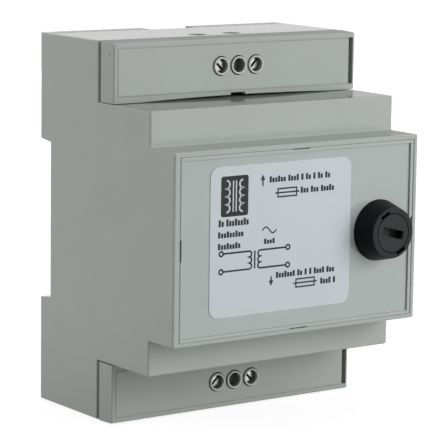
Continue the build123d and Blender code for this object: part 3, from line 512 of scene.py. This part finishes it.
def fuse_joint():
    """Middle and radius of the gap between the fuse carrier and its holder."""
    face_depth = mm(0.2)
    mesh = frame["nodes"]["fuse_carrier"].data
    middle = box_centre("fuse_holder")
    front = front_of("fuse_carrier")
    face = [vertex.co - middle for vertex in mesh.vertices if vertex.co.y < front + face_depth]
    return middle, max(hypot(point.x, point.z) for point in face)


def carrier_slot():
    """Two places along the slot of the fuse carrier, left and right of its middle, between which painted
    shade rises.
    """
    reach = mm(2.6)
    middle = box_centre("fuse_carrier").x
    return middle - reach, middle + reach


# Materials of the record's slots


SLOT_MATERIALS = {
    "housing_grey": moulded("housing_plastic", HOUSING_GREY, roughness=0.10, depth=mm(0.0006)),
    "cover_grey": moulded(
        "cover_plastic", COVER_GREY, roughness=0.10, depth=mm(0.0006), gate=cover_gate()
    ),
    # The panel's left edge carries a dark line of painted shade and dust along its joint
    "panel_grey": moulded(
        "panel_plastic", PANEL_GREY, roughness=0.07, specular=0.8, shaded_seam=left_of("front_panel")
    ),
    "base_grey": moulded("base_plastic", BASE_GREY, roughness=0.42),
    "clip_grey": moulded("clip_plastic", CLIP_GREY, roughness=0.45),
    # Pale collar fronts, with painted shade on the collar walls and in the bores behind them
    "terminal_grey": faced(
        "terminal_plastic", COLLAR_PALE, TERMINAL_PAINTED_SHADE, front=front_of("upper_terminal_block"),
        fade=mm(0.90), roughness=0.40,
    ),
    "label_film": film("label_film", LABEL_WHITE),
    "cage_steel": metal("cage_zinc", ZINC, roughness=0.34, stretch=(1, 8, 1)),
    "contact_brass": metal("contact_brass", BRASS, roughness=0.30, stretch=(6, 1, 1)),
    "spring_steel": metal("spring_wire", STEEL, roughness=0.28),
    "cap_nickel": metal("cap_nickel", NICKEL, roughness=0.16, stretch=(1, 6, 1)),
    "fuse_wire": metal("fuse_wire", ZINC, roughness=0.30),
    "screw_zinc": metal("core_screw_zinc", ZINC, roughness=0.30),
    "board_laminate": laminate("board_laminate", LAMINATE_GREEN),
    # Worn front over the black body; the black behind the front also paints shade into the holder's pockets,
    # and painted shade lies in the joint round the carrier
    "holder_black": faced(
        "holder_thermoset", WORN_BLACK, BLACK, front=front_of("fuse_holder"),
        fade=mm(0.30), roughness=0.46, specular=0.10, joint=fuse_joint(),
    ),
    # Worn front, with painted shade in the joint round it and over the right part of its slot
    "carrier_black": faced(
        "carrier_thermoset", WORN_BLACK, BLACK, front=front_of("fuse_carrier"),
        fade=mm(1.30), roughness=0.46, specular=0.14, joint=fuse_joint(), shaded_slot=carrier_slot(),
    ),
    "nut_black": moulded("nut_plastic", BLACK, roughness=0.50, specular=0.3),
    "cutout_black": moulded("cutout_plastic", BLACK, roughness=0.38, specular=0.3),
    "fuse_glass": glass("fuse_glass", GLASS_TINT),
    "core_steel": stacked(
        "core_laminations", CORE_GREY, axis="Y", pitch=mm(0.5), roughness=0.45, metallic=0.6
    ),
    "bobbin_white": moulded("bobbin_plastic", BOBBIN_WHITE, roughness=0.42),
    "winding_tape": stacked(
        "winding_tape", TAPE_YELLOW, axis="X", pitch=mm(4.0), roughness=0.30, depth=mm(0.06), contrast=0.10
    ),
    "winding_wire": stacked(
        "winding_wire", COPPER_ENAMEL, axis="X", pitch=mm(0.6), roughness=0.28, depth=mm(0.15)
    ),
    "lead_brown": moulded("lead_brown", LEAD_BROWN, roughness=0.40, specular=0.4),
    "lead_white": moulded("lead_white", LEAD_WHITE, roughness=0.40),
}


def dress_nodes():
    """Gives every CAD node the material of its slot, and each terminal screw rings about its own axis."""
    for part in frame["record"]["subparts"]:
        name, slot = part["node"], part["material_slot"]
        if slot == "screw_nickel":
            centre, front = box_centre(name), front_of(name)
            material = turned_metal(f"{name}_nickel", NICKEL, roughness=0.24, centre=centre, front=front)
        else:
            material = SLOT_MATERIALS[slot]
        mesh = frame["nodes"][name].data
        mesh.materials.clear()
        mesh.materials.append(material)


# Mesh helpers


def new_piece(name, bm, material):
    """A finished mesh as an object that rides on the base."""
    mesh = bpy.data.meshes.new(name)
    bmesh.ops.recalc_face_normals(bm, faces=bm.faces)
    bm.to_mesh(mesh)
    bm.free()
    mesh.materials.append(material)
    piece = bpy.data.objects.new(name, mesh)
    bpy.context.scene.collection.objects.link(piece)
    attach(piece, "base")
    return piece


class Print:
    """Flat print on the label: shapes in millimetres across and up from the label's middle."""

    THICKNESS = mm(0.012)

    def __init__(self, lift=0.0):
        self.bm = bmesh.new()
        low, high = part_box("rating_label")
        self.origin = Vector(((low.x + high.x) / 2, low.y - lift, (low.z + high.z) / 2))

    def vertex(self, across, up):
        return self.bm.verts.new(self.origin + Vector((mm(across), 0, mm(up))))

    def fill(self, points):
        self.bm.faces.new([self.vertex(*point) for point in points])

    def bar(self, left, bottom, width, height):
        right, top = left + width, bottom + height
        self.fill(((left, bottom), (right, bottom), (right, top), (left, top)))

    def rounded_bar(self, left, bottom, width, height, radius, steps=6):
        """A bar with round corners, in turn from the upper right one, anticlockwise."""
        points = []
        for corner in range(4):
            across = left + (width - radius if corner in (0, 3) else radius)
            up = bottom + (height - radius if corner in (0, 1) else radius)
            for step in range(steps + 1):
                angle = (corner + step / steps) * pi / 2
                points.append((across + radius * cos(angle), up + radius * sin(angle)))
        self.fill(points)

    def stroke(self, points, width, closed=False):
        """A line of even width with mitred corners."""
        sharpest_mitre = 0.3
        path = [Vector(point) for point in points]
        count = len(path)
        sides = []
        for i, point in enumerate(path):
            before = path[i - 1] if closed or i else None
            after = path[(i + 1) % count] if closed or i + 1 < count else None
            ahead = (after - point).normalized() if after else (point - before).normalized()
            behind = (point - before).normalized() if before else ahead
            heading = (ahead + behind).normalized()
            reach = width / 2 / max(heading.dot(ahead), sharpest_mitre)
            side = Vector((-heading.y, heading.x)) * reach
            sides.append((self.vertex(*(point + side)), self.vertex(*(point - side))))
        for i in range(count if closed else count - 1):
            (a, b), (c, d) = sides[i], sides[(i + 1) % count]
            self.bm.faces.new((a, b, d, c))

    def ring(self, across, up, radius, width, steps=28):
        angles = [step * tau / steps for step in range(steps)]
        self.stroke([(across + radius * cos(t), up + radius * sin(t)) for t in angles], width, closed=True)

    def words(self, left, up, letters, height=1.45):
        """A line of small blocks in place of words, with the number of blocks in each word."""
        width, gap, space = 0.64, 0.17, 0.55
        low_share, tall_every = 0.74, 3
        for count in letters:
            for i in range(count):
                rise = height if i % tall_every == 0 else height * low_share
                self.bar(left, up - height / 2, width, rise)
                left += width + gap
            left += space

    def finish(self, name, material):
        """Gives the print its thickness and makes it a piece."""
        raised = bmesh.ops.extrude_face_region(self.bm, geom=list(self.bm.faces))
        fronts = [part for part in raised["geom"] if isinstance(part, bmesh.types.BMVert)]
        bmesh.ops.translate(self.bm, verts=fronts, vec=(0, -self.THICKNESS, 0))
        new_piece(name, self.bm, material)


# Print on the label, in millimetres


def arrow(sheet, across, up, reach, way):
    """Arrow with a filled head, upwards where the way is 1 and downwards where it is -1."""
    head, half, line = 1.35, 0.68, 0.42
    tip = up + way * reach / 2
    neck = tip - way * head
    sheet.fill(((across - half, neck), (across + half, neck), (across, tip)))
    sheet.stroke(((across, up - way * reach / 2), (across, neck)), line)


def fuse_sign(sheet, across, up):
    """Circuit sign of a fuse: a box with a line through it."""
    half_width, half_height, lead, line = 2.7, 0.95, 0.8, 0.36
    corners = ((-1, -1), (1, -1), (1, 1), (-1, 1))
    sheet.stroke([(across + x * half_width, up + z * half_height) for x, z in corners], line, closed=True)
    sheet.stroke(((across - half_width - lead, up), (across + half_width + lead, up)), line)


def sine_sign(sheet, across, up):
    """One wave, the sign of alternating current."""
    width, swing, line, steps = 4.1, 0.75, 0.34, 24
    points = []
    for step in range(steps + 1):
        share = step / steps
        points.append((across + (share - 0.5) * width, up + swing * sin(share * tau)))
    sheet.stroke(points, line)


def coil_sign(sheet, across, up, facing, turns, radius, line):
    """Upright winding sign: half turns that bulge to one side."""
    steps = 10
    points = []
    for turn in range(turns):
        middle = up + (turns - 1 - 2 * turn) * radius
        # A turn ends where the next one starts, so only the last one has its own end point
        last = turn == turns - 1
        for step in range(steps + last):
            angle = pi / 2 - pi * step / steps
            points.append((across + facing * radius * cos(angle), middle + radius * sin(angle)))
    sheet.stroke(points, line)


def winding_diagram(sheet, across, up):
    """Two windings with a core between them, and a terminal at the end of each lead."""
    turns, radius, line, offset, reach, terminal = 3, 0.70, 0.42, 1.6, 9.0, 0.55
    sheet.bar(across - line / 2, up - turns * radius, line, 2 * turns * radius)
    for side in (-1, 1):
        coil_sign(sheet, across + side * offset, up, -side, turns, radius, line)
        for end in (-1, 1):
            lead_up = up + end * turns * radius
            sheet.stroke(((across + side * offset, lead_up), (across + side * reach, lead_up)), line)
            sheet.ring(across + side * (reach + terminal), lead_up, terminal, line)


def print_signs():
    """Dark print: the block, plain signs and lines of small blocks, with no lettering."""
    sheet = Print()
    sheet.rounded_bar(BLOCK_LEFT, BLOCK_BOTTOM, BLOCK_WIDTH, BLOCK_HEIGHT, BLOCK_CORNER)
    # Input side: arrow, ratings and thermal fuse
    arrow(sheet, across=-5.6, up=13.7, reach=2.7, way=1)
    sheet.words(left=-3.7, up=13.7, letters=(6, 4, 1, 2, 1, 2, 2))
    fuse_sign(sheet, across=1.5, up=10.4)
    sheet.words(left=5.4, up=10.6, letters=(3, 3, 5))
    # Lines below the block, the wave with its line, and the windings
    sheet.words(left=-18.0, up=4.5, letters=(2, 8), height=1.65)
    sheet.words(left=-18.1, up=1.8, letters=(9,))
    sheet.words(left=-18.1, up=-0.9, letters=(8,))
    sine_sign(sheet, across=-3.5, up=1.9)
    sheet.words(left=-5.0, up=-0.7, letters=(4,), height=1.25)
    winding_diagram(sheet, across=-7.6, up=-4.7)
    # Output side: ratings, arrow and line fuse
    sheet.words(left=-1.4, up=-8.95, letters=(7, 2, 1, 1, 4, 3))
    arrow(sheet, across=-2.8, up=-10.3, reach=2.3, way=-1)
    fuse_sign(sheet, across=7.2, up=-11.45)
    sheet.words(left=11.7, up=-11.6, letters=(4, 1))
    sheet.finish("label_print", ink("label_ink", INK))


def print_block_sign():
    """Pale sign of a transformer on the dark block."""
    turns, radius, line, offset = 4, 0.92, 0.42, 2.3
    core_line, core_offset, core_inset = 0.34, 0.42, 1.1
    across, up = BLOCK_LEFT + BLOCK_WIDTH / 2, BLOCK_BOTTOM + BLOCK_HEIGHT / 2
    core_bottom, core_height = BLOCK_BOTTOM + core_inset, BLOCK_HEIGHT - 2 * core_inset
    sheet = Print(lift=Print.THICKNESS)
    for side in (-1, 1):
        coil_sign(sheet, across + side * offset, up, -side, turns, radius, line)
        sheet.bar(across + side * core_offset - core_line / 2, core_bottom, core_line, core_height)
    sheet.finish("label_sign", ink("label_pale_ink", LABEL_WHITE))


# Spring of the rail clip


def wind(low, high):
    """Mesh of a coil of wire that fills a box, with closed end turns."""
    wire_radius, turns, closed_turns = mm(0.25), 6.0, 0.8
    steps_per_turn, sides = 40, 10
    foot = Vector(((low.x + high.x) / 2, (low.y + high.y) / 2, low.z + wire_radius))
    coil_radius = (high.x - low.x) / 2 - wire_radius
    rise = high.z - low.z - 2 * wire_radius
    closed_rise = 2 * wire_radius * closed_turns
    open_turns = turns - 2 * closed_turns

    def height(turn):
        """Height above the foot after that many turns."""
        if turn < closed_turns:
            return closed_rise * turn / closed_turns
        if turn > turns - closed_turns:
            return rise - closed_rise * (turns - turn) / closed_turns
        return closed_rise + (rise - 2 * closed_rise) * (turn - closed_turns) / open_turns

    bm = bmesh.new()
    loops = []
    count = ceil(turns * steps_per_turn)
    for i in range(count + 1):
        turn = turns * i / count
        out = Vector((cos(turn * tau), sin(turn * tau), 0))
        centre = foot + Vector((0, 0, height(turn))) + out * coil_radius
        loop = []
        for k in range(sides):
            angle = k * tau / sides
            loop.append(bm.verts.new(centre + wire_radius * (out * cos(angle) + Vector((0, 0, sin(angle))))))
        loops.append(loop)
    for first, second in zip(loops, loops[1:]):
        for k in range(sides):
            n = (k + 1) % sides
            bm.faces.new((first[k], first[n], second[n], second[k]))
    bm.faces.new(loops[0])
    bm.faces.new(loops[-1])
    for face in bm.faces:
        face.smooth = True
    return bm


def clip_spring():
    """Coil spring in place of the CAD one, riding on the base."""
    low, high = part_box("clip_spring")
    piece = new_piece("wound_clip_spring", wind(low, high), SLOT_MATERIALS["spring_steel"])
    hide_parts("clip_spring")
    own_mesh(piece)


# Camera, light and floor


def direction(azimuth, elevation):
    """Unit vector from the object towards an azimuth left or right of the front and an elevation."""
    return Vector((sin(azimuth) * cos(elevation), -cos(azimuth) * cos(elevation), sin(elevation)))


def set_camera():
    back = direction(CAMERA_AZIMUTH, CAMERA_ELEVATION)
    right = Vector((cos(CAMERA_AZIMUTH), sin(CAMERA_AZIMUTH), 0))
    axes = Matrix((right, back.cross(right), back)).transposed()
    data = bpy.data.cameras.new("camera")
    data.lens = CAMERA_LENS
    data.sensor_width = CAMERA_SENSOR
    data.clip_start = CAMERA_NEAR
    data.clip_end = CAMERA_FAR
    camera = bpy.data.objects.new("camera", data)
    bpy.context.scene.collection.objects.link(camera)
    turn = axes.to_4x4() @ Matrix.Rotation(CAMERA_ROLL, 4, "Z")
    camera.matrix_world = Matrix.Translation(CAMERA_AIM + back * CAMERA_DISTANCE) @ turn
    bpy.context.scene.camera = camera


def add_soft_boxes():
    for name, box in SOFT_BOXES.items():
        data = bpy.data.lights.new(name, "AREA")
        data.energy = box["power"]
        data.size = box["size"]
        lamp = bpy.data.objects.new(name, data)
        lamp.visible_glossy = False
        bpy.context.scene.collection.objects.link(lamp)
        towards = direction(box["azimuth"], box["elevation"])
        lamp.location = towards * SOFT_BOX_DISTANCE
        lamp.rotation_mode = "QUATERNION"
        lamp.rotation_quaternion = towards.to_track_quat("Z", "Y")


def gloss_level(tree, where, reach):
    """Level that gloss sees: darker in front than behind, with the change over that reach."""
    return mixed(tree, ramp(tree, split(tree, where, "Y"), -reach, reach), GLOSS_FRONT, GLOSS_BACK)


def set_world():
    """White to the camera and to glass, and for diffuse light even all round and weaker from above.

    Gloss sees the front and back levels up to the dark band, and the overhead level above the band.
    """
    world = bpy.data.worlds.new("studio")
    bpy.context.scene.world = world
    world.use_nodes = True
    tree = world.node_tree
    path = add(tree, "ShaderNodeLightPath")
    where = add(tree, "ShaderNodeTexCoord").outputs["Generated"]
    upward = split(tree, where, "Z")
    around = mixed(tree, ramp(tree, upward, *AMBIENT_TOP_RISE), AMBIENT, AMBIENT_TOP)
    gloss = gloss_level(tree, where, GLOSS_REACH_TENT)
    gloss = mixed(tree, ramp(tree, upward, *GLOSS_BAND_RISE), gloss, GLOSS_BAND)
    gloss = mixed(tree, ramp(tree, upward, *GLOSS_OVERHEAD_RISE), gloss, GLOSS_OVERHEAD)
    level = mixed(tree, path.outputs["Is Glossy Ray"], around, gloss)
    level = mixed(tree, path.outputs["Is Transmission Ray"], level, 1.0)
    level = mixed(tree, path.outputs["Is Camera Ray"], level, 1.0)
    background = tree.nodes["Background"]
    background.inputs["Color"].default_value = (*WHITE, 1)
    tree.links.new(level, background.inputs["Strength"])


def sheet_mask(tree, where):
    """1 on the bright sheet that lies in front on the right, and 0 off it."""
    out = direction(SHEET_AZIMUTH, 0)
    across = calculated(tree, "ABSOLUTE", along(tree, where, Vector((0, 0, 1)).cross(out)))
    within = ramp(tree, across, SHEET_HALF_WIDTH + SHEET_FADE, SHEET_HALF_WIDTH)
    beyond = ramp(tree, along(tree, where, out), SHEET_START, SHEET_START + SHEET_FADE)
    return calculated(tree, "MULTIPLY", within, beyond)


def floor_material():
    """Pale floor that glows to the camera, so that it is white where no shadow falls.

    Gloss sees the bright sheet on it, and the front and back levels beside the sheet.
    """
    material, tree, shader = new_material("floor_pale")
    tree.nodes.remove(shader)
    path = add(tree, "ShaderNodeLightPath")
    where = place(tree)
    glow = add(tree, "ShaderNodeEmission", Color=(*WHITE, 1))
    far = ramp(tree, length(tree, where), FLOOR_NEAR, FLOOR_FAR)
    shown = mixed(tree, far, FLOOR_GLOW_NEAR, FLOOR_GLOW_FAR)
    tree.links.new(mixed(tree, path.outputs["Is Camera Ray"], 0.0, shown), glow.inputs["Strength"])
    matt = add(tree, "ShaderNodeBsdfDiffuse", Color=(*FLOOR_PALE, 1))
    both = add(tree, "ShaderNodeAddShader")
    tree.links.new(glow.outputs["Emission"], both.inputs[0])
    tree.links.new(matt.outputs["BSDF"], both.inputs[1])
    mirrored = add(tree, "ShaderNodeEmission", Color=(*WHITE, 1))
    beside = gloss_level(tree, where, GLOSS_REACH_FLOOR)
    level = mixed(tree, sheet_mask(tree, where), beside, SHEET_GLOSS)
    tree.links.new(level, mirrored.inputs["Strength"])
    choice = add(tree, "ShaderNodeMixShader")
    tree.links.new(path.outputs["Is Glossy Ray"], choice.inputs["Fac"])
    tree.links.new(both.outputs["Shader"], choice.inputs[1])
    tree.links.new(mirrored.outputs["Emission"], choice.inputs[2])
    tree.links.new(choice.outputs["Shader"], tree.nodes["Material Output"].inputs["Surface"])
    return material


def add_floor():
    half = FLOOR_SIZE / 2
    height = cad_box[0].z - FLOOR_DROP
    mesh = bpy.data.meshes.new("floor")
    corners = [(-half, -half, height), (half, -half, height), (half, half, height), (-half, half, height)]
    mesh.from_pydata(corners, [], [(0, 1, 2, 3)])
    mesh.materials.append(floor_material())
    floor = bpy.data.objects.new("floor", mesh)
    bpy.context.scene.collection.objects.link(floor)


dress_nodes()
print_signs()
print_block_sign()
clip_spring()
set_camera()
add_soft_boxes()
set_world()
add_floor()
bpy.context.scene.view_settings.view_transform = "Standard"
